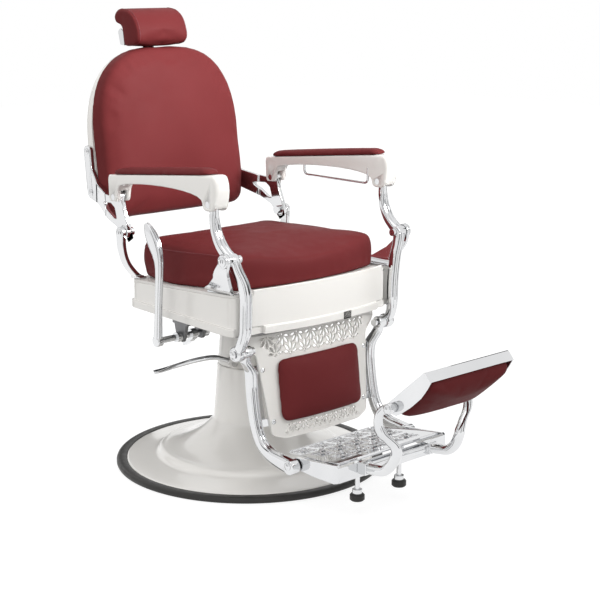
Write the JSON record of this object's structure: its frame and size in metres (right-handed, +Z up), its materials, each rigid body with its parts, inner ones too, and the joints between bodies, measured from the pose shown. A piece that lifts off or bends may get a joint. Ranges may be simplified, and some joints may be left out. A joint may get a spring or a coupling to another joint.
{
  "type": "hydraulic barber chair",
  "caption": "Traditional barber chair: round enamel base, swivelling hydraulic lift, reclining back linked to level armrests, a swinging legrest and a padded flip footrest",
  "frame": {"origin": "centre of the base on the floor, under the swivel axis", "axes": "+Z up, the chair faces -Y, +X is the sitter's left"},
  "size_m": [0.6999, 1.2025, 1.1573],
  "materials": {
    "white_enamel": "glossy warm white enamel",
    "chrome": "polished chrome",
    "red_upholstery": "satin dark red leathercloth",
    "black_rubber": "matt",
    "steel": "plain steel",
    "bronze": "machined",
    "white_casting": "glossy warm white enamel on castings",
    "board": "white painted board"
  },
  "bodies": {
    "base": {"base_shell": "white_enamel", "base_trim": "black_rubber", "pump_cylinder": "steel", "base_bolts": "steel", "swivel_bush": "bronze", "thrust_washer": "bronze"},
    "pump_head": {"pump_head": "white_enamel", "lever_pin": "chrome"},
    "pump_lever": {"pump_lever": "chrome"},
    "seat": {"lift_ram": "chrome", "seat_plate": "steel", "seat_plate_bolts": "steel", "seat_frame": "white_casting", "seat_board": "board", "seat_cushion": "red_upholstery", "front_bracket_right": "chrome", "front_bracket_left": "chrome", "rear_strut_right": "chrome", "rear_strut_left": "chrome", "front_pivot_bolts": "chrome", "rear_pivot_bolts": "chrome", "lever_bracket": "steel"},
    "recline_lever": {"recline_lever": "chrome", "lever_shaft": "chrome"},
    "back": {"back_shell": "white_casting", "back_cushion": "red_upholstery", "back_bracket_right": "chrome", "back_bracket_left": "chrome", "bracket_screws": "chrome", "headrest_socket": "steel"},
    "arm_right": {"armrest_right": "white_casting", "arm_pad_right": "red_upholstery", "arm_pins_right": "chrome"},
    "arm_left": {"armrest_left": "white_casting", "arm_pad_left": "red_upholstery", "arm_pins_left": "chrome", "towel_bar": "chrome"},
    "legs": {"front_leg_right": "chrome", "front_leg_left": "chrome", "side_bar_right": "chrome", "side_bar_left": "chrome", "legrest_panel": "white_casting", "legrest_pad": "red_upholstery", "legrest_screws": "chrome", "footrest_frame": "chrome", "footrest_tread": "chrome", "footrest_bolts": "chrome", "foot_crossbar": "chrome", "flip_arm_right": "chrome", "flip_arm_left": "chrome", "foot_posts": "chrome", "foot_pads": "black_rubber", "flip_bolts": "chrome"},
    "flip_pad": {"flip_tray": "chrome", "flip_cushion": "red_upholstery"},
    "headrest_post": {"headrest_post": "chrome", "headrest_pin": "chrome"},
    "headrest": {"headrest_bracket": "chrome", "headrest_pad": "red_upholstery"}
  },
  "joints": [
    {"name": "swivel", "type": "hinge", "parent": "base", "child": "pump_head", "pos_m": [0, 0, 0.264], "axis": [0, 0, 1], "continuous": true},
    {"name": "pump_stroke", "type": "hinge", "parent": "pump_head", "child": "pump_lever", "pos_m": [-0.09, -0.03993, 0.285], "axis": [0.4478, 0.8942, 0], "range_deg": [-16, 0], "stiffness_Nm_per_rad": 6, "springref_deg": 11.46},
    {"name": "lift", "type": "slide", "parent": "pump_head", "child": "seat", "axis": [0, 0, 1], "range_m": [0, 0.15]},
    {"name": "recline", "type": "hinge", "parent": "seat", "child": "back", "pos_m": [0, 0.166, 0.614], "axis": [-1, 0, 0], "range_deg": [0, 40]},
    {"name": "arm_right_level", "type": "hinge", "parent": "back", "child": "arm_right", "pos_m": [-0.263, 0.188, 0.702], "axis": [-1, 0, 0], "range_deg": [-41.3, 0]},
    {"name": "arm_left_level", "type": "hinge", "parent": "back", "child": "arm_left", "pos_m": [0.263, 0.188, 0.702], "axis": [-1, 0, 0], "range_deg": [-41.3, 0]},
    {"name": "legrest_swing", "type": "hinge", "parent": "seat", "child": "legs", "pos_m": [0, -0.263, 0.606], "axis": [-1, 0, 0], "range_deg": [0, 28.1]},
    {"name": "flip", "type": "hinge", "parent": "legs", "child": "flip_pad", "pos_m": [0, -0.65, 0.312], "axis": [-1, 0, 0], "range_deg": [0, 120]},
    {"name": "recline_release", "type": "hinge", "parent": "seat", "child": "recline_lever", "pos_m": [-0.24, -0.012, 0.372], "axis": [-1, 0, 0], "range_deg": [0, 18], "stiffness_Nm_per_rad": 8, "springref_deg": -11.46},
    {"name": "headrest_height", "type": "slide", "parent": "back", "child": "headrest_post", "axis": [0, 0.1392, 0.9903], "range_m": [0, 0.09]},
    {"name": "headrest_tilt", "type": "hinge", "parent": "headrest_post", "child": "headrest", "pos_m": [0, 0.41267, 1.09451], "axis": [-1, 0, 0], "range_deg": [0, 25]}
  ],
  "couplings": [
    {"joint": "legrest_swing", "follows": "recline", "ratio": 0.7015},
    {"joint": "arm_right_level", "follows": "recline", "ratio": -1.031},
    {"joint": "arm_left_level", "follows": "recline", "ratio": -1.031}
  ]
}
